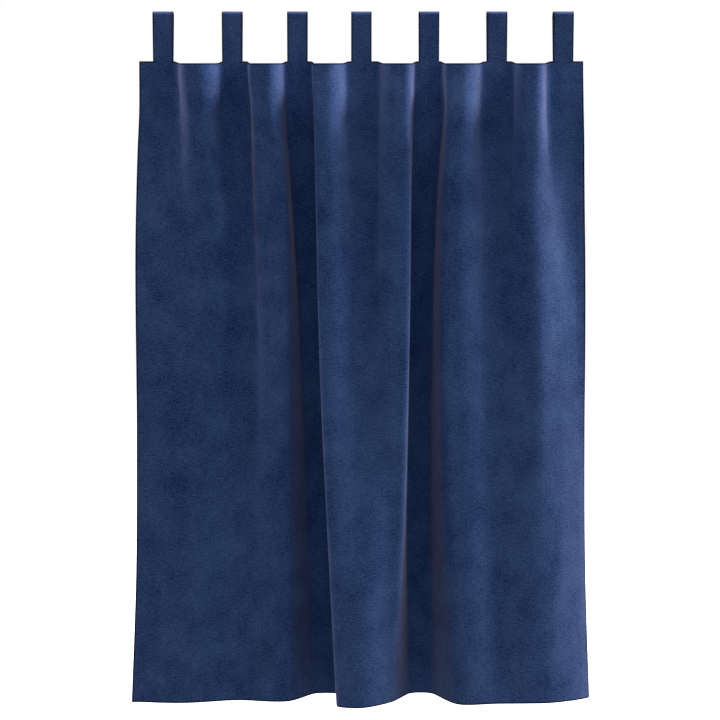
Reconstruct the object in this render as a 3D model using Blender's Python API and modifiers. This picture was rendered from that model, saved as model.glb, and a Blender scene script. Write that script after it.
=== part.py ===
"""One tab-top velvet curtain, hanging in its folds.

Metres, +Z up, seen from the front along +Y. The origin is on the axis of the rod that the tabs
loop over, above the middle of the curtain. The rod itself isn't part of the object.
"""

import math

import bpy
import numpy as np

MM = 0.001

# The panel is cut 1.40 m wide. Hung, its folds take it in to about 1.15 m.
PANEL_DROP = 1.624
CLOTH_THICKNESS = 0.002
SEAM_GAP = 0.0003

# A tab is a strip folded over the rod, with its front end on the panel's top edge and its back end
# sewn down behind the panel.
TAB_WIDTH = 0.052
TAB_THICKNESS = 0.0026
TAB_INNER_RADIUS = 0.0084
TAB_HANG = 0.115
TAB_CLOSED = 0.006
TAB_FOOT = 0.018
TAB_CENTRES_MM = (-500, -324, -160, 2, 172, 343, 510)
ARC_STEPS = 18

# The sewn top hem stands straight before the folds below it set in.
HEADING_BAND = 0.026

# The cloth between two tabs bulges forward: it steps out on its left flank and back on its right
# one. Each row follows one flank from the heading to the hem. At each level it gives, in
# millimetres, the flank's middle from the centre line, the width it takes up, and its step, which
# is + away from the viewer. A flank rolls off the front of its fold and is steepest at the back.
LEVELS = (0.0, 0.10, 0.24, 0.80, PANEL_DROP)
BENDS = (2.0, 2.0, 1.7, 1.4, 1.2)
FLANKS = (
    # flank         heading         neck            shoulder        middle          hem
    ("gap_1_left", (-449, 26, -33), (-441, 30, -32), (-434, 44, -22), (-450, 70, -6), (-522, 70, -9)),
    ("gap_1_right", (-386, 70, 33), (-386, 70, 34), (-371, 50, 28), (-368, 44, 16), (-386, 110, 25)),
    ("gap_2_left", (-281, 8, -46), (-273, 9, -46), (-268, 20, -36), (-252, 34, -24), (-258, 66, -14)),
    ("gap_2_right", (-216, 56, 46), (-213, 54, 44), (-196, 30, 48), (-168, 44, 58), (-153, 62, 79)),
    ("gap_3_left", (-122, 0, -47), (-117, -2, -50), (-114, -2, -68), (-99, -6, -96), (-60, -6, -128)),
    ("gap_3_right", (-65, 76, 47), (-65, 76, 48), (-60, 62, 36), (-45, 56, 16), (-35, 34, -8)),
    ("gap_4_left", (50, 44, -28), (50, 44, -28), (50, 44, -26), (48, 40, -8), (34, 48, 44)),
    ("gap_4_right", (119, 30, 28), (119, 28, 32), (121, 12, 54), (115, 8, 98), (100, 72, 96)),
    ("gap_5_left", (211, 10, -46), (213, 12, -46), (213, 24, -50), (194, 38, -72), (210, 56, -112)),
    ("gap_5_right", (276, 80, 46), (276, 80, 46), (279, 74, 34), (284, 60, 14), (300, 50, 6)),
    ("gap_6_left", (386, 30, -34), (388, 34, -32), (388, 50, -24), (395, 90, -8), (375, 90, 4)),
    ("gap_6_right", (451, 62, 34), (453, 62, 34), (462, 62, 36), (480, 70, 18), (452, 60, 5)),
    ("right_edge", (530, 30, 0), (530, 30, 0), (535, 40, 2), (540, 60, 26), (530, 84, 74)),
)
FLANK_SHARES = np.linspace(0, 1, 7)

# The two side edges at several drops, in metres and then millimetres from the centre line.
SIDES = (
    # drop, left, right
    (0.00, -562, 563),
    (0.10, -562, 564),
    (0.20, -566, 569),
    (0.40, -571, 575),
    (0.95, -568, 575),
    (1.30, -570, 578),
    (PANEL_DROP, -581, 590),
)

# Where the cloth bulges forward its top edge dips, and the dip runs out a little way down.
TOP_DIP = 0.005
FORWARD_DIP = 0.25
SAG_REACH = 0.42

# The roundness of the folds: tight under the heading and fuller at the hem.
FOLD_ROUND_TOP = 0.0042
FOLD_ROUND_HEM = 0.0150

# The grid of the panel
TRACE_POINTS = 1201
COLUMNS = 100
ROW_DROPS = (0.0, 0.026, 0.055, 0.09, 0.13, 0.18, 0.24, 0.31, 0.39, 0.48, 0.58, 0.69, 0.81, 0.93,
             1.05, 1.17, 1.28, 1.38, 1.47, 1.55, PANEL_DROP)

VELVET_NAVY = (0.016, 0.034, 0.115, 1.0)


def clear_scene():
    for thing in list(bpy.data.objects):
        bpy.data.objects.remove(thing)


def velvet(name, colour):
    material = bpy.data.materials.new(name)
    material.use_nodes = True
    shader = material.node_tree.nodes["Principled BSDF"]
    shader.inputs["Base Color"].default_value = colour
    shader.inputs["Roughness"].default_value = 0.9
    shader.inputs["Metallic"].default_value = 0.0
    return material


def smooth_curve(at, stations, values):
    """A value read at one place from a smooth curve through the given stations."""
    values = np.asarray(values, float)
    stations = np.asarray(stations, float)
    slopes = np.gradient(values, stations, axis=0)
    k = int(np.clip(np.searchsorted(stations, at) - 1, 0, len(stations) - 2))
    span = stations[k + 1] - stations[k]
    t = (at - stations[k]) / span
    rise = values[k + 1] - values[k]
    start = slopes[k] * span
    end = slopes[k + 1] * span
    return values[k] + t * start + t * t * (3 * rise - 2 * start - end) + t**3 * (start + end - 2 * rise)


def corners_at(drop):
    """The cloth seen from above at one drop, before its folds are rounded."""
    below = max(0.0, drop - HEADING_BAND) * PANEL_DROP / (PANEL_DROP - HEADING_BAND)
    side_drops = [row[0] for row in SIDES]
    left, right = smooth_curve(below, side_drops, [row[1:] for row in SIDES])
    bend = smooth_curve(below, LEVELS, BENDS)
    depth = 0.0
    points = [(left, depth)]
    for row in FLANKS:
        middle, width, step = smooth_curve(below, LEVELS, row[1:])
        rise = FLANK_SHARES**bend if step > 0 else 1 - (1 - FLANK_SHARES)**bend
        points += zip(middle + width * (FLANK_SHARES - 0.5), depth + step * rise)
        depth += step
    points.append((right, depth))
    return np.array(points) * MM


def run_lengths(points):
    steps = np.linalg.norm(np.diff(points, axis=0), axis=1)
    return np.concatenate([[0.0], np.cumsum(steps)])


def along(points, fractions):
    """Points at the given fractions of a line's length."""
    lengths = run_lengths(points)
    at = np.asarray(fractions) * lengths[-1]
    return np.stack([np.interp(at, lengths, points[:, axis]) for axis in (0, 1)], axis=1)


def rounded(points, radius):
    """The same line with its corners rounded by a running average that leaves the ends in place."""
    spacing = run_lengths(points)[-1] / (len(points) - 1)
    reach = int(math.ceil(3 * radius / spacing))
    weights = np.exp(-0.5 * (np.arange(-reach, reach + 1) * spacing / radius) ** 2)
    weights /= weights.sum()
    before = 2 * points[0] - points[reach:0:-1]
    after = 2 * points[-1] - points[-2:-reach - 2:-1]
    padded = np.concatenate([before, points, after])
    return np.stack([np.convolve(padded[:, axis], weights, "valid") for axis in (0, 1)], axis=1)


def section_at(drop):
    """The folded cloth seen from above at one drop, as evenly spaced points."""
    share = drop / PANEL_DROP
    radius = FOLD_ROUND_TOP + (FOLD_ROUND_HEM - FOLD_ROUND_TOP) * share
    even = np.linspace(0, 1, TRACE_POINTS)
    return along(rounded(along(corners_at(drop), even), radius), even)


def sag_of(fractions, drop):
    """How far each place across the cloth hangs below its straight height, where it bulges forward."""
    forward = np.maximum(-along(section_at(0.0), fractions)[:, 1], 0)
    fade = 1 - min(drop / SAG_REACH, 1)
    dip = FORWARD_DIP * forward + TOP_DIP * (1 - np.exp(-forward / 0.006))
    return dip * fade * fade * (3 - 2 * fade)


def column_fractions():
    """Grid columns across the cloth, closest together where the folds turn most."""
    turning = np.zeros(TRACE_POINTS)
    for drop in LEVELS:
        line = section_at(drop)
        heading = np.unwrap(np.arctan2(*np.gradient(line, axis=0).T[::-1]))
        turning += np.abs(np.gradient(heading))
    turning /= turning.mean()
    reach = np.ones(15) / 15
    density = 0.55 + np.convolve(turning, reach, "same")
    total = np.concatenate([[0.0], np.cumsum((density[1:] + density[:-1]) / 2)])
    return np.interp(np.linspace(0, 1, COLUMNS + 1), total / total[-1], np.linspace(0, 1, TRACE_POINTS))


def make_panel(collection, material):
    """The velvet panel: a flat grid of cloth, moved into its hanging folds and given its thickness."""
    rows = len(ROW_DROPS) - 1
    bpy.ops.mesh.primitive_grid_add(x_subdivisions=COLUMNS, y_subdivisions=rows, size=1)
    panel = bpy.context.object
    fractions = column_fractions()
    sections = [along(section_at(drop), fractions) for drop in ROW_DROPS]
    sags = [sag_of(fractions, drop) for drop in ROW_DROPS]
    for vertex in panel.data.vertices:
        column = round((vertex.co.x + 0.5) * COLUMNS)
        row = round((0.5 - vertex.co.y) * rows)
        x, y = sections[row][column]
        vertex.co = (x, y, -TAB_HANG - ROW_DROPS[row] - sags[row][column])
    finish(panel, "curtain_panel", collection, material)
    shell = panel.modifiers.new("cloth_thickness", "SOLIDIFY")
    shell.thickness = CLOTH_THICKNESS
    shell.offset = 0.0
    return panel


def tangent_angle(point, radius, side):
    """Where a straight line from a point below touches the circle round the rod's axis."""
    y, z = point
    return math.atan2(z, y) + side * math.acos(radius / math.hypot(y, z))


def arc(radius, start, end):
    steps = [start + (end - start) * k / ARC_STEPS for k in range(ARC_STEPS + 1)]
    return [(radius * math.cos(a), radius * math.sin(a)) for a in steps]


def tab_outlines():
    """The tab seen from its side, as (y, z): its outer line and the loop that the rod goes through."""
    outer_radius = TAB_INNER_RADIUS + TAB_THICKNESS
    front = -CLOTH_THICKNESS / 2
    behind_panel = CLOTH_THICKNESS / 2 + SEAM_GAP
    back = behind_panel + TAB_THICKNESS
    base = -TAB_HANG + SEAM_GAP
    foot = -TAB_HANG - TAB_FOOT
    full_turn = 2 * math.pi
    rises = tangent_angle((front, base), outer_radius, -1) + full_turn
    falls = tangent_angle((back, base), outer_radius, 1)
    outer = [(front, base)] + arc(outer_radius, rises, falls)
    outer += [(back, base), (back, foot), (behind_panel, foot), (behind_panel, base)]
    closes = ((front + back) / 2, base + TAB_CLOSED)
    rises = tangent_angle(closes, TAB_INNER_RADIUS, -1) + full_turn
    falls = tangent_angle(closes, TAB_INNER_RADIUS, 1)
    inner = [closes] + arc(TAB_INNER_RADIUS, rises, falls)
    return outer, inner


def make_tab(number, centre, collection, material):
    """One tab: the outline of its loop, as wide as the strip."""
    name = f"tab_{number}"
    curve = bpy.data.curves.new(name, "CURVE")
    curve.dimensions = "2D"
    curve.fill_mode = "BOTH"
    curve.extrude = TAB_WIDTH / 2
    for outline in tab_outlines():
        spline = curve.splines.new("POLY")
        spline.points.add(len(outline) - 1)
        for point, (y, z) in zip(spline.points, outline):
            point.co = (y, z, 0, 1)
        spline.use_cyclic_u = True
    tab = bpy.data.objects.new(name, curve)
    tab.location = (centre, 0, 0)
    tab.rotation_euler = (math.pi / 2, 0, math.pi / 2)
    bpy.context.scene.collection.objects.link(tab)
    finish(tab, name, collection, material)
    return tab


def finish(thing, name, collection, material):
    """Names a piece, gives it its material and puts it in the curtain's collection."""
    thing.name = name
    thing.data.name = name
    thing.data.materials.append(material)
    for holder in list(thing.users_collection):
        holder.objects.unlink(thing)
    collection.objects.link(thing)
    if thing.type == "MESH":
        thing.data.shade_smooth()


def main():
    clear_scene()
    collection = bpy.data.collections.new("tab_top_velvet_curtain")
    bpy.context.scene.collection.children.link(collection)
    panel_velvet = velvet("navy_velvet", VELVET_NAVY)
    tab_velvet = velvet("navy_velvet_tab", VELVET_NAVY)
    make_panel(collection, panel_velvet)
    for number, centre in enumerate(TAB_CENTRES_MM, start=1):
        make_tab(number, centre * MM, collection, tab_velvet)


main()
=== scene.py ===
"""A tab-top curtain in navy velvet, hanging in its folds from seven tabs.

Metres, +Z up, seen from the front along +Y. The origin is on the axis of the rod that the tabs
would loop over.
"""

import math

import bpy
import numpy as np
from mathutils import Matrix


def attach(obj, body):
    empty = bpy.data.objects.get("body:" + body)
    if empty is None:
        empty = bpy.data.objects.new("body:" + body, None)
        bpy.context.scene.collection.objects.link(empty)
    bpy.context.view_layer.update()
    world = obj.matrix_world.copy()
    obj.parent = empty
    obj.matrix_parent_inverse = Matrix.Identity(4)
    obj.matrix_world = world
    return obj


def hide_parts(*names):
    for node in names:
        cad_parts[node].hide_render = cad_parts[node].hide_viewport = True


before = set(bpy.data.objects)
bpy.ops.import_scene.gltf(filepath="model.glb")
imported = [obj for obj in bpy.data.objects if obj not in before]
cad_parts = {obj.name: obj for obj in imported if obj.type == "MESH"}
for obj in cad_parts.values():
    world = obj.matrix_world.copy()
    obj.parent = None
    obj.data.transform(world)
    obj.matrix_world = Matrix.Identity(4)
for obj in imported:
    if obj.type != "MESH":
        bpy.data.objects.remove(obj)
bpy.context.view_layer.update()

# The velvet panel. It is one cut of cloth with its edges turned to the back as hems, drawn up by
# the tabs so that it bulges forward between them and runs down in folds of its own. Below its top
# edge it keeps the heading's folds for the width of a band, and along its edges lies painted shade.
MM = 0.001
CLOTH_WIDTH = 1.470
PANEL_DROP = 1.624
PANEL_TOP = -0.115
CLOTH_THICKNESS = 0.0018
HEM_THICKNESS = 0.0030
FRONT_FACE = 0.001
SIDE_HEM = 0.024
HEADING_HEM = 0.050
BOTTOM_HEM = 0.080
# Width in metres of the dark band of painted shade along the cloth's free edges
EDGE_SHADE_BAND = 0.003
HEADING_BAND = 0.026
TAB_WIDTH = 0.052
TAB_CENTRES_MM = (-501, -326, -161, 1, 172, 344, 512)

# Each row follows one flank of a fold from the heading to the hem. At each level it gives, in
# millimetres, the flank's middle from the centre line, the width it takes up, and its step, which
# is + away from the viewer. At the heading the steps between two tabs cancel, which leaves the
# cloth in the tabs' plane wherever one of them is joined on.
LEVELS = (0.0, 0.10, 0.24, 0.80, 1.30, PANEL_DROP)
FLANKS = (
    # flank
    #     heading         neck            shoulder        middle          low             hem
    ("gap_1_left",
        (-449, 32, -50), (-439, 40, -40), (-434, 44, -22), (-450, 70, -6), (-493, 70, -8), (-522, 70, -9)),
    ("gap_1_right",
        (-381, 52, 50), (-381, 55, 44), (-372, 48, 31), (-368, 44, 16), (-379, 84, 21), (-386, 110, 25)),
    ("gap_2_left",
        (-281, 8, -56), (-273, 9, -55), (-268, 18, -38), (-252, 28, -28), (-256, 52, -20), (-258, 66, -14)),
    ("gap_2_right",
        (-214, 41, 56), (-211, 42, 52), (-193, 22, 56), (-168, 34, 76), (-160, 56, 78), (-153, 62, 79)),
    ("gap_3_left",
        (-122, 0, -46), (-117, -2, -54), (-114, -2, -76), (-99, -6, -112), (-76, -6, -122), (-60, -6, -128)),
    ("gap_3_right",
        (-64, 56, 46), (-65, 58, 44), (-60, 58, 38), (-50, 56, 20), (-41, 42, 3), (-35, 34, -8)),
    ("gap_4_left",
        (66, 38, -42), (65, 40, -42), (60, 34, -36), (50, 40, -12), (42, 62, 24), (36, 62, 44)),
    ("gap_4_right",
        (124, 24, 42), (122, 20, 48), (124, 10, 64), (120, 6, 112), (109, 18, 104), (98, 58, 96)),
    ("gap_5_left",
        (211, 7, -45), (214, 8, -49), (207, 16, -60), (194, 24, -86), (204, 46, -102), (214, 60, -112)),
    ("gap_5_right",
        (278, 60, 45), (272, 60, 45), (274, 68, 44), (284, 60, 20), (296, 56, 15), (304, 54, 11)),
    ("gap_6_left",
        (396, 20, -44), (396, 22, -40), (396, 32, -34), (395, 80, -12), (383, 86, -3), (370, 80, 2)),
    ("gap_6_right",
        (453, 38, 44), (451, 40, 44), (457, 54, 39), (478, 58, 25), (466, 60, 12), (440, 56, 2)),
    ("right_edge",
        (505, 44, 0), (508, 50, 0), (517, 58, 17), (541, 62, 28), (541, 80, 50), (527, 114, 54)),
)

# A flank rolls off the front of its fold and is steepest at the back. Its bend says by how much at
# each level, and 1 is a straight slope. The last fold on the right turns more softly. The edge beside
# it is steepest where the two meet, and below the low level at the edge itself.
BENDS = (2.4, 2.4, 2.2, 1.5, 1.3, 1.2)
OWN_BENDS = {
    "gap_6_right": (2.4, 2.4, 1.8, 1.35, 1.3, 1.2),
    "right_edge": (1.0, 1.0, 1.8, 1.05, 0.95, 0.65),
}
FLANK_SHARES = np.linspace(0, 1, 9)

# The two side edges at several drops: metres, then millimetres from the centre line
SIDES = (
    # drop, left, right
    (0.00, -562, 563),
    (0.10, -562, 564),
    (0.20, -566, 569),
    (0.40, -571, 575),
    (0.95, -568, 575),
    (1.30, -570, 578),
    (PANEL_DROP, -581, 586),
)

# Between the tabs the top edge dips, at once by a little and then with each bulge forward
TOP_DIP = 0.005
DIP_ONSET = 0.006
FORWARD_DIP = 0.25
SAG_REACH = 0.42

# How round the folds are at the top and at the hem, and how finely the cloth is divided
FOLD_ROUND_TOP = 0.0037
FOLD_ROUND_HEM = 0.0150
TRACE_POINTS = 1201
COLUMNS = 236
ROWS = 180
ROW_CROWDING = 1.15
FLAT_DENSITY = 0.7
DENSITY_SPAN = 15
OUTER_COLUMN = 0.0008
OUTER_ROW = 0.0012
HEM_PAIR = 0.001


def smooth_curve(at, stations, values):
    """A value read at one place from a smooth curve through the given stations."""
    values = np.asarray(values, float)
    stations = np.asarray(stations, float)
    slopes = np.gradient(values, stations, axis=0)
    k = int(np.clip(np.searchsorted(stations, at) - 1, 0, len(stations) - 2))
    span = stations[k + 1] - stations[k]
    t = (at - stations[k]) / span
    rise = values[k + 1] - values[k]
    start = slopes[k] * span
    end = slopes[k + 1] * span
    return values[k] + t * start + t * t * (3 * rise - 2 * start - end) + t**3 * (start + end - 2 * rise)


def corners_at(drop):
    """The cloth seen from above at one drop, before its folds are rounded."""
    below = max(0.0, drop - HEADING_BAND) * PANEL_DROP / (PANEL_DROP - HEADING_BAND)
    left, right = smooth_curve(below, [row[0] for row in SIDES], [row[1:] for row in SIDES])
    depth = 0.0
    points = [(left, depth)]
    for row in FLANKS:
        middle, width, step = smooth_curve(below, LEVELS, row[1:])
        bend = smooth_curve(below, LEVELS, OWN_BENDS.get(row[0], BENDS))
        back_last = step > 0 and row[0] != "right_edge"
        rise = FLANK_SHARES**bend if back_last else 1 - (1 - FLANK_SHARES)**bend
        points += zip(middle + width * (FLANK_SHARES - 0.5), depth + step * rise)
        depth += step
    points.append((right, depth))
    return np.array(points) * MM


def run_lengths(points):
    """How far along a line each of its points lies."""
    steps = np.linalg.norm(np.diff(points, axis=0), axis=1)
    return np.concatenate([[0.0], np.cumsum(steps)])


def along(points, fractions):
    """Points at the given fractions of a line's length."""
    lengths = run_lengths(points)
    at = np.asarray(fractions) * lengths[-1]
    return np.stack([np.interp(at, lengths, points[:, axis]) for axis in (0, 1)], axis=1)


def rounded(points, radius):
    """The same line with its corners rounded by a running average that leaves its ends in place."""
    spacing = run_lengths(points)[-1] / (len(points) - 1)
    reach = int(math.ceil(3 * radius / spacing))
    weights = np.exp(-0.5 * (np.arange(-reach, reach + 1) * spacing / radius) ** 2)
    weights /= weights.sum()
    before = 2 * points[0] - points[reach:0:-1]
    after = 2 * points[-1] - points[-2:-reach - 2:-1]
    padded = np.concatenate([before, points, after])
    return np.stack([np.convolve(padded[:, axis], weights, "valid") for axis in (0, 1)], axis=1)


def section_at(drop):
    """The folded cloth seen from above at one drop, as evenly spaced points."""
    radius = FOLD_ROUND_TOP + (FOLD_ROUND_HEM - FOLD_ROUND_TOP) * (drop / PANEL_DROP)**2
    even = np.linspace(0, 1, TRACE_POINTS)
    return along(rounded(along(corners_at(drop), even), radius), even)


def sag_of(fractions, drop):
    """How far each place across the cloth hangs below its straight height, where it bulges forward."""
    forward = np.maximum(-along(section_at(0.0), fractions)[:, 1], 0)
    fade = 1 - min(drop / SAG_REACH, 1)
    dip = FORWARD_DIP * forward + TOP_DIP * (1 - np.exp(-forward / DIP_ONSET))
    return dip * fade * fade * (3 - 2 * fade)


def column_fractions():
    """Grid columns across the cloth, closest where the folds turn most and at the side hems."""
    even = np.linspace(0, 1, TRACE_POINTS)
    turning = np.zeros(TRACE_POINTS)
    for drop in LEVELS:
        line = section_at(drop)
        heading = np.unwrap(np.arctan2(*np.gradient(line, axis=0).T[::-1]))
        turning += np.abs(np.gradient(heading))
    turning /= turning.mean()
    density = FLAT_DENSITY + np.convolve(turning, np.ones(DENSITY_SPAN) / DENSITY_SPAN, "same")
    total = np.concatenate([[0.0], np.cumsum((density[1:] + density[:-1]) / 2)])
    hem = SIDE_HEM / CLOTH_WIDTH
    fixed = [0.0, OUTER_COLUMN, EDGE_SHADE_BAND / CLOTH_WIDTH, hem - HEM_PAIR, hem + HEM_PAIR]
    inner = COLUMNS + 1 - 2 * len(fixed)
    spread = np.linspace(0, 1, inner + 2)[1:-1]
    middle = np.interp(spread, total / total[-1], even)
    middle = 2 * hem + (1 - 4 * hem) * (middle - middle[0]) / (middle[-1] - middle[0])
    return np.sort(np.concatenate([fixed, middle, [1 - f for f in fixed]]))


def row_drops():
    """Grid rows down the cloth, with close pairs at the edges of the heading and of the hem."""
    hem_top = PANEL_DROP - BOTTOM_HEM
    fixed = [0.0, OUTER_ROW, EDGE_SHADE_BAND, HEADING_HEM - HEM_PAIR, HEADING_HEM + HEM_PAIR]
    fixed += [hem_top - HEM_PAIR, hem_top + HEM_PAIR]
    fixed += [PANEL_DROP - EDGE_SHADE_BAND, PANEL_DROP - OUTER_ROW, PANEL_DROP]
    inner = ROWS + 1 - len(fixed)
    spread = np.linspace(0, 1, inner + 2)[1:-1]
    return np.sort(np.concatenate([fixed, PANEL_DROP * spread**ROW_CROWDING]))


COLUMN_FRACTIONS = column_fractions()
ROW_DROPS = row_drops()

bpy.ops.object.select_all(action="DESELECT")
bpy.ops.mesh.primitive_grid_add(x_subdivisions=COLUMNS, y_subdivisions=ROWS, size=1)
panel = bpy.context.object
panel.name = "velvet_panel"
grid = np.empty(len(panel.data.vertices) * 3)
panel.data.vertices.foreach_get("co", grid)
grid = grid.reshape(-1, 3)
column_of = np.rint((grid[:, 0] + 0.5) * COLUMNS).astype(int)
row_of = np.rint((0.5 - grid[:, 1]) * ROWS).astype(int)
surface = np.empty((ROWS + 1, COLUMNS + 1, 3))
for row, drop in enumerate(ROW_DROPS):
    surface[row, :, :2] = along(section_at(drop), COLUMN_FRACTIONS)
    surface[row, :, 2] = PANEL_TOP - drop - sag_of(COLUMN_FRACTIONS, drop)
across = np.gradient(surface, axis=1)
down = np.gradient(surface, axis=0)
facing = np.cross(down, across)
facing /= np.linalg.norm(facing, axis=2, keepdims=True)
facing *= np.where(facing[:, :1, 1:2] > 0, -1, 1)
front = surface + facing * FRONT_FACE
panel.data.vertices.foreach_set("co", front[row_of, column_of].ravel())

# The cloth's own coordinates, in metres, for the pile to follow
corner_vertices = np.empty(len(panel.data.loops), int)
panel.data.loops.foreach_get("vertex_index", corner_vertices)
flat_x = COLUMN_FRACTIONS[column_of] * CLOTH_WIDTH
flat_y = PANEL_DROP - ROW_DROPS[row_of]
cloth_uv = np.stack([flat_x[corner_vertices], flat_y[corner_vertices]], axis=1)
panel.data.uv_layers[0].data.foreach_set("uv", cloth_uv.ravel())

# Marks where the tabs are joined on, so that no painted edge shade is laid there as along a free edge
JOIN_INSET = 0.0015
JOIN_DEPTH = 0.030
to_tab = np.abs(surface[0, :, 0:1] - np.array(TAB_CENTRES_MM) * MM).min(axis=1)
joined_columns = to_tab < TAB_WIDTH / 2 - JOIN_INSET
tab_marks = np.where(joined_columns[None, :] & (ROW_DROPS[:, None] < JOIN_DEPTH), 1.0, 0.0)
joined = panel.data.attributes.new("joined", "FLOAT", "POINT")
joined.data.foreach_set("value", tab_marks[row_of, column_of].ravel())

# The turned hems make the cloth thicker along its edges, on the back only
RIM_RADIUS = 0.0007
RIM_ANGLE = math.radians(55)
hem_group = panel.vertex_groups.new(name="hem")
in_hem = (flat_x < SIDE_HEM) | (flat_x > CLOTH_WIDTH - SIDE_HEM)
in_hem |= (flat_y < BOTTOM_HEM) | (flat_y > PANEL_DROP - HEADING_HEM)
hem_group.add([int(v) for v in np.flatnonzero(in_hem)], 1.0, "REPLACE")
shell = panel.modifiers.new("cloth", "SOLIDIFY")
shell.thickness = HEM_THICKNESS
shell.offset = -1
shell.vertex_group = "hem"
shell.thickness_vertex_group = CLOTH_THICKNESS / HEM_THICKNESS
shell.use_even_offset = True
shell.material_offset = 1
rim = panel.modifiers.new("rounded_rim", "BEVEL")
rim.width = RIM_RADIUS
rim.segments = 2
rim.limit_method = "ANGLE"
rim.angle_limit = RIM_ANGLE


# The velvet's pile. Each pattern has so many patches to a metre across and along the cloth, then its
# detail. Tints and reliefs say how strongly it shows. Between the two edge distances the colour goes
# from a dark band of painted shade, standing in for the shade on the rounded rim, to clear.
CLUMPS = (210, 260, 2)
WEFT = (60, 420, 2)
NAP = (15, 12, 5)
DRIFT = (3.2, 2.1, 2)
NOISE_ROUGHNESS = 0.6
CLUMP_TINT = 1.15
WEFT_TINT = 0.85
DRIFT_TINT = 0.45
WEFT_RELIEF = 0.45
NAP_RELIEF = 0.5
LEAST_ROUGHNESS = 0.80
ROUGHNESS_SPREAD = 0.10
EDGE_SHADE_FULL = 0.0015
EDGE_SHADE_END = 0.0055
EDGE_SHADE_TONE = 0.18


def pile_group():
    """Cut pile as cloth coordinates see it: clumps, weft lines, brushed nap, and painted shade along the
    edges.
    """
    group = bpy.data.node_groups.new("cut_pile", "ShaderNodeTree")
    for name, kind in (("Deep", "NodeSocketColor"), ("Pale", "NodeSocketColor"),
                       ("Width", "NodeSocketFloat"), ("Length", "NodeSocketFloat"),
                       ("Nap", "NodeSocketFloat")):
        group.interface.new_socket(name=name, in_out="INPUT", socket_type=kind)
    for name, kind in (("Colour", "NodeSocketColor"), ("Roughness", "NodeSocketFloat"),
                       ("Height", "NodeSocketFloat")):
        group.interface.new_socket(name=name, in_out="OUTPUT", socket_type=kind)
    nodes, links = group.nodes, group.links
    inputs = nodes.new("NodeGroupInput")
    outputs = nodes.new("NodeGroupOutput")
    place = nodes.new("ShaderNodeTexCoord")

    def noise(scale_x, scale_y, detail):
        """One pattern of the pile, from 0 to 1."""
        mapping = nodes.new("ShaderNodeMapping")
        mapping.inputs["Scale"].default_value = (scale_x, scale_y, 1)
        links.new(place.outputs["UV"], mapping.inputs["Vector"])
        texture = nodes.new("ShaderNodeTexNoise")
        texture.noise_dimensions = "2D"
        texture.inputs["Scale"].default_value = 1.0
        texture.inputs["Detail"].default_value = detail
        texture.inputs["Roughness"].default_value = NOISE_ROUGHNESS
        links.new(mapping.outputs["Vector"], texture.inputs["Vector"])
        return texture.outputs["Fac"]

    def maths(operation, first, second, third=None):
        """A sum of sockets and plain numbers."""
        node = nodes.new("ShaderNodeMath")
        node.operation = operation
        for socket, value in zip(node.inputs, (first, second, third)):
            if isinstance(value, (int, float)):
                socket.default_value = value
            elif value is not None:
                links.new(value, socket)
        return node.outputs[0]

    clumps = noise(*CLUMPS)
    weft = noise(*WEFT)
    nap = noise(*NAP)
    drift = noise(*DRIFT)
    tone = maths("MULTIPLY_ADD", maths("SUBTRACT", clumps, 0.5), CLUMP_TINT, 0.5)
    tone = maths("ADD", tone, maths("MULTIPLY", maths("SUBTRACT", weft, 0.5), WEFT_TINT))
    brushed = maths("MULTIPLY_ADD", maths("SUBTRACT", drift, 0.5), DRIFT_TINT,
                    maths("SUBTRACT", nap, 0.5))
    tone = maths("MULTIPLY_ADD", brushed, inputs.outputs["Nap"], tone)

    split = nodes.new("ShaderNodeSeparateXYZ")
    links.new(place.outputs["UV"], split.inputs[0])
    far_side = maths("SUBTRACT", inputs.outputs["Width"], split.outputs["X"])
    far_end = maths("SUBTRACT", inputs.outputs["Length"], split.outputs["Y"])
    to_side = maths("MINIMUM", split.outputs["X"], far_side)
    to_end = maths("MINIMUM", split.outputs["Y"], far_end)
    to_edge = maths("MINIMUM", to_side, to_end)
    # Painted shade: towards a free edge the colour is darkened, standing in for the shade on the rounded rim
    edge = nodes.new("ShaderNodeMapRange")
    edge.interpolation_type = "SMOOTHSTEP"
    edge.inputs["From Min"].default_value = EDGE_SHADE_FULL
    edge.inputs["From Max"].default_value = EDGE_SHADE_END
    edge.inputs["To Min"].default_value = EDGE_SHADE_TONE
    edge.inputs["To Max"].default_value = 1.0
    links.new(to_edge, edge.inputs["Value"])
    free = nodes.new("ShaderNodeAttribute")
    free.attribute_name = "joined"
    rim_shade_factor = maths("MAXIMUM", edge.outputs[0], free.outputs["Fac"])

    blend = nodes.new("ShaderNodeMix")
    blend.data_type = "RGBA"
    links.new(tone, blend.inputs["Factor"])
    links.new(inputs.outputs["Deep"], blend.inputs["A"])
    links.new(inputs.outputs["Pale"], blend.inputs["B"])
    shade = nodes.new("ShaderNodeVectorMath")
    shade.operation = "SCALE"
    links.new(blend.outputs["Result"], shade.inputs[0])
    links.new(rim_shade_factor, shade.inputs["Scale"])
    links.new(shade.outputs[0], outputs.inputs["Colour"])
    rough = maths("MULTIPLY_ADD", nap, ROUGHNESS_SPREAD, LEAST_ROUGHNESS)
    links.new(rough, outputs.inputs["Roughness"])
    height = maths("ADD", clumps, maths("MULTIPLY", weft, WEFT_RELIEF))
    height = maths("ADD", height, maths("MULTIPLY", nap, NAP_RELIEF))
    links.new(height, outputs.inputs["Height"])
    return group


CUT_PILE = pile_group()
DEEP_NAVY = (0.003, 0.034, 0.160, 1.0)
PALE_NAVY = (0.083, 0.168, 0.400, 1.0)
# The dark colour of that band of painted shade along the free edges
EDGE_SHADE_NAVY = (0.007, 0.014, 0.040, 1.0)
SHEEN_TINT = (0.94, 0.82, 1.0, 1.0)
SHEEN_WEIGHT = 0.488
SHEEN_ROUGHNESS = 0.5
PILE_HEIGHT = 0.0012
PANEL_NAP = 0.85
TAB_NAP = 0.7


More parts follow.
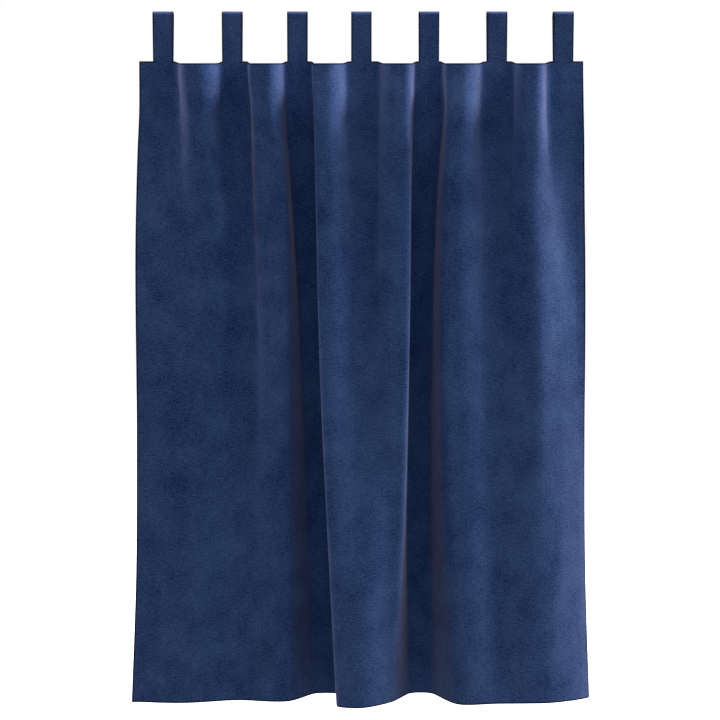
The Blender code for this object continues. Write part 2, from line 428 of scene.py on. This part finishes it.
def velvet(name, width, length, nap):
    """Velvet cut to a width and length in metres, with painted shade along its edges."""
    material = bpy.data.materials.new(name)
    material.use_nodes = True
    nodes, links = material.node_tree.nodes, material.node_tree.links
    shader = nodes["Principled BSDF"]
    pile = nodes.new("ShaderNodeGroup")
    pile.node_tree = CUT_PILE
    pile.inputs["Deep"].default_value = DEEP_NAVY
    pile.inputs["Pale"].default_value = PALE_NAVY
    pile.inputs["Width"].default_value = width
    pile.inputs["Length"].default_value = length
    pile.inputs["Nap"].default_value = nap
    bump = nodes.new("ShaderNodeBump")
    bump.inputs["Strength"].default_value = 0.5
    bump.inputs["Distance"].default_value = PILE_HEIGHT
    links.new(pile.outputs["Height"], bump.inputs["Height"])
    links.new(pile.outputs["Colour"], shader.inputs["Base Color"])
    links.new(pile.outputs["Roughness"], shader.inputs["Roughness"])
    links.new(bump.outputs["Normal"], shader.inputs["Normal"])
    shader.inputs["Specular IOR Level"].default_value = 0.0
    shader.inputs["Sheen Weight"].default_value = SHEEN_WEIGHT
    shader.inputs["Sheen Roughness"].default_value = SHEEN_ROUGHNESS
    shader.inputs["Sheen Tint"].default_value = SHEEN_TINT
    return material


GROUND_DARK = (0.010, 0.017, 0.046, 1.0)
GROUND_PALE = (0.022, 0.036, 0.088, 1.0)
GROUND_THREADS = 260.0
GROUND_RELIEF = 0.0004


def backing(name):
    """The reverse of velvet: the plain ground weave that the pile is tied into."""
    material = bpy.data.materials.new(name)
    material.use_nodes = True
    nodes, links = material.node_tree.nodes, material.node_tree.links
    shader = nodes["Principled BSDF"]
    place = nodes.new("ShaderNodeTexCoord")
    threads = []
    for direction in ("X", "Y"):
        wave = nodes.new("ShaderNodeTexWave")
        wave.bands_direction = direction
        wave.inputs["Scale"].default_value = GROUND_THREADS
        wave.inputs["Distortion"].default_value = 1.2
        wave.inputs["Detail"].default_value = 1.0
        links.new(place.outputs["UV"], wave.inputs["Vector"])
        threads.append(wave.outputs["Fac"])
    weave = nodes.new("ShaderNodeMath")
    weave.operation = "MAXIMUM"
    links.new(threads[0], weave.inputs[0])
    links.new(threads[1], weave.inputs[1])
    colour = nodes.new("ShaderNodeMix")
    colour.data_type = "RGBA"
    colour.inputs["A"].default_value = GROUND_DARK
    colour.inputs["B"].default_value = GROUND_PALE
    links.new(weave.outputs[0], colour.inputs["Factor"])
    bump = nodes.new("ShaderNodeBump")
    bump.inputs["Strength"].default_value = 0.35
    bump.inputs["Distance"].default_value = GROUND_RELIEF
    links.new(weave.outputs[0], bump.inputs["Height"])
    links.new(colour.outputs["Result"], shader.inputs["Base Color"])
    links.new(bump.outputs["Normal"], shader.inputs["Normal"])
    shader.inputs["Roughness"].default_value = 0.85
    shader.inputs["Sheen Weight"].default_value = 0.08
    return material


def edge_shade_paint(name):
    """Painted shade along a turned edge: a dark line where the rounded rim turns from the light."""
    material = bpy.data.materials.new(name)
    material.use_nodes = True
    shader = material.node_tree.nodes["Principled BSDF"]
    shader.inputs["Base Color"].default_value = EDGE_SHADE_NAVY
    shader.inputs["Roughness"].default_value = 0.9
    shader.inputs["Specular IOR Level"].default_value = 0.0
    return material


FACE, BACK, EDGE = range(3)
panel.data.materials.append(velvet("panel_velvet", CLOTH_WIDTH, PANEL_DROP, PANEL_NAP))
panel.data.materials.append(backing("velvet_backing"))
panel.data.materials.append(edge_shade_paint("painted_edge_shade"))
for modifier in list(panel.modifiers):
    bpy.ops.object.modifier_apply(modifier=modifier.name)
panel.data.shade_smooth()

# A hem is the velvet turned over, so its pile shows on the back. Along the cloth's edges a band of
# painted shade is laid, except where a tab is joined on.
uv = panel.data.uv_layers[0].data
for face in panel.data.polygons:
    x = sum(uv[i].uv[0] for i in face.loop_indices) / face.loop_total
    y = sum(uv[i].uv[1] for i in face.loop_indices) / face.loop_total
    to_side = min(x, CLOTH_WIDTH - x)
    to_top = PANEL_DROP - y
    if face.material_index == BACK:
        turned_over = to_side <= SIDE_HEM or y <= BOTTOM_HEM or to_top <= HEADING_HEM
        face.material_index = FACE if turned_over else BACK
    place = panel.data.vertices[face.vertices[0]].co
    nearest_tab = min(abs(place.x - centre * MM) for centre in TAB_CENTRES_MM)
    under_tab = to_top < EDGE_SHADE_BAND and nearest_tab < TAB_WIDTH / 2
    if min(to_side, y, to_top) < EDGE_SHADE_BAND and not under_tab:
        face.material_index = EDGE
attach(panel, "root")
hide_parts("curtain_panel")


# The tabs. Each is a strip of the same velvet, folded over the rod, with its front end joined to
# the panel's top edge and its back end sewn down as a foot behind the heading. The radius is that
# of the middle of the strap's thickness over a slim rod.
STRAP_THICKNESS = 0.0026
STRAP_RADIUS = 0.0097
FRONT_PROUD = 0.0002
FOOT_GAP = 0.0003
TAB_FOOT = 0.018
TAB_LAP = 0.0025
TAB_COLUMNS = 14
TAB_ROWS = 90
CROWN_POINTS = 49
STRAP_RIM_RADIUS = 0.0011
NO_CUT_END = 10.0


def strap_line():
    """The middle of the strap's thickness as (y, z), from its front end over the crown to its foot."""
    front = (-FRONT_FACE - FRONT_PROUD + STRAP_THICKNESS / 2, PANEL_TOP)
    back = (FRONT_FACE + FOOT_GAP + STRAP_THICKNESS / 2, PANEL_TOP)
    rises = math.atan2(front[1], front[0]) - math.acos(STRAP_RADIUS / math.hypot(*front)) + 2 * math.pi
    falls = math.atan2(back[1], back[0]) + math.acos(STRAP_RADIUS / math.hypot(*back))
    line = [(front[0], PANEL_TOP - TAB_LAP), front]
    for angle in np.linspace(rises, falls, CROWN_POINTS):
        line.append((STRAP_RADIUS * math.cos(angle), STRAP_RADIUS * math.sin(angle)))
    line.append(back)
    line.append((back[0], PANEL_TOP - TAB_FOOT))
    return np.array(line)


STRAP = strap_line()
STRAP_LENGTH = float(run_lengths(STRAP)[-1])
STRAP_PLACES = along(STRAP, np.linspace(0, 1, TAB_ROWS + 1))
# The tabs' velvet paints the same shade along both sides of each strap, and none at its ends
tab_velvet = velvet("tab_velvet", TAB_WIDTH, NO_CUT_END, TAB_NAP)
for number, centre in enumerate(TAB_CENTRES_MM, start=1):
    bpy.ops.object.select_all(action="DESELECT")
    bpy.ops.mesh.primitive_grid_add(x_subdivisions=TAB_COLUMNS, y_subdivisions=TAB_ROWS, size=1)
    tab = bpy.context.object
    tab.name = f"velvet_tab_{number}"
    places = []
    for vertex in tab.data.vertices:
        step = round((vertex.co.y + 0.5) * TAB_ROWS)
        y, z = STRAP_PLACES[step]
        places.append((centre * MM + vertex.co.x * TAB_WIDTH, y, z))
    uv = tab.data.uv_layers[0].data
    for loop in tab.data.loops:
        flat = tab.data.vertices[loop.vertex_index].co
        uv[loop.index].uv = ((flat.x + 0.5) * TAB_WIDTH, 1.0 + number + (flat.y + 0.5) * STRAP_LENGTH)
    for vertex, place in zip(tab.data.vertices, places):
        vertex.co = place
    strap = tab.modifiers.new("strap", "SOLIDIFY")
    strap.thickness = STRAP_THICKNESS
    strap.offset = 0
    rim = tab.modifiers.new("rounded_sides", "BEVEL")
    rim.width = STRAP_RIM_RADIUS
    rim.segments = 3
    rim.limit_method = "ANGLE"
    rim.angle_limit = RIM_ANGLE
    for modifier in list(tab.modifiers):
        bpy.ops.object.modifier_apply(modifier=modifier.name)
    tab.data.shade_smooth()
    tab.data.materials.append(tab_velvet)
    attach(tab, "root")
    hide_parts(f"tab_{number}")

# The floor, a plain pale one a little below the hem. It is as bright as the room, and the curtain
# takes no light from it.
FLOOR_HEIGHT = -1.81
bpy.ops.object.select_all(action="DESELECT")
bpy.ops.mesh.primitive_plane_add(size=60, location=(0, 0, FLOOR_HEIGHT))
floor = bpy.context.object
floor.name = "pale_floor"
floor_paint = bpy.data.materials.new("pale_floor")
floor_paint.use_nodes = True
floor_shader = floor_paint.node_tree.nodes["Principled BSDF"]
floor_shader.inputs["Base Color"].default_value = (0.9, 0.9, 0.9, 1)
floor_shader.inputs["Roughness"].default_value = 1.0
floor_shader.inputs["Specular IOR Level"].default_value = 0.0
floor_shader.inputs["Emission Color"].default_value = (1, 1, 1, 1)
floor_shader.inputs["Emission Strength"].default_value = 1.0
floor.data.materials.append(floor_paint)
floor.visible_diffuse = False
floor.visible_glossy = False


# The light. A high lamp on the right, a little behind the cloth, grazes every flank that faces it.
# A low one fills the same side, two on the left pick out the other flanks, the lower of them warm,
# and a pale room lights the rest.
LAMP_AIM_HEIGHT = -0.3


def soft_light(name, azimuth, elevation, distance, size, power, colour=(1, 1, 1)):
    """A round soft lamp aimed at the curtain from one side: 0 is the front and 90 the right."""
    lamp = bpy.data.lights.new(name, "AREA")
    lamp.shape = "DISK"
    lamp.size = size
    lamp.energy = power
    lamp.color = colour
    holder = bpy.data.objects.new(name, lamp)
    bpy.context.scene.collection.objects.link(holder)
    turn, lift = math.radians(azimuth), math.radians(elevation)
    level = distance * math.cos(lift)
    height = LAMP_AIM_HEIGHT + distance * math.sin(lift)
    holder.location = (level * math.sin(turn), -level * math.cos(turn), height)
    holder.rotation_euler = (math.pi / 2 - lift, 0, turn)


soft_light("key_right", 95, 49, 9.0, 2.85, 1080)
soft_light("side_right", 75, 12, 9.0, 4.8, 189)
soft_light("high_left", -90, 45, 6.0, 3.2, 94)
soft_light("behind_left", -100, 10, 6.0, 3.2, 190, (1.0, 0.74, 0.66))

ROOM_LIGHT = 0.255
world = bpy.data.worlds.new("pale_room")
world.use_nodes = True
bpy.context.scene.world = world
room = world.node_tree.nodes
links = world.node_tree.links
seen = room["Background"]
seen.inputs["Color"].default_value = (1, 1, 1, 1)
seen.inputs["Strength"].default_value = 1.0
lighting = room.new("ShaderNodeBackground")
lighting.inputs["Color"].default_value = (1, 1, 1, 1)
lighting.inputs["Strength"].default_value = ROOM_LIGHT
ray = room.new("ShaderNodeLightPath")
choice = room.new("ShaderNodeMixShader")
links.new(ray.outputs["Is Camera Ray"], choice.inputs["Fac"])
links.new(lighting.outputs[0], choice.inputs[1])
links.new(seen.outputs[0], choice.inputs[2])
links.new(choice.outputs[0], room["World Output"].inputs["Surface"])
bpy.context.scene.view_settings.view_transform = "Standard"

# The camera, level with the middle of the curtain and three metres in front of it, with a lens that
# just takes in the whole of it
view = bpy.data.cameras.new("front_view")
view.lens = 59.2
view.sensor_width = 36.0
camera = bpy.data.objects.new("front_view", view)
camera.location = (-0.0025, -3.0, -0.872)
camera.rotation_euler = (math.pi / 2, 0, 0)
bpy.context.scene.collection.objects.link(camera)
bpy.context.scene.camera = camera
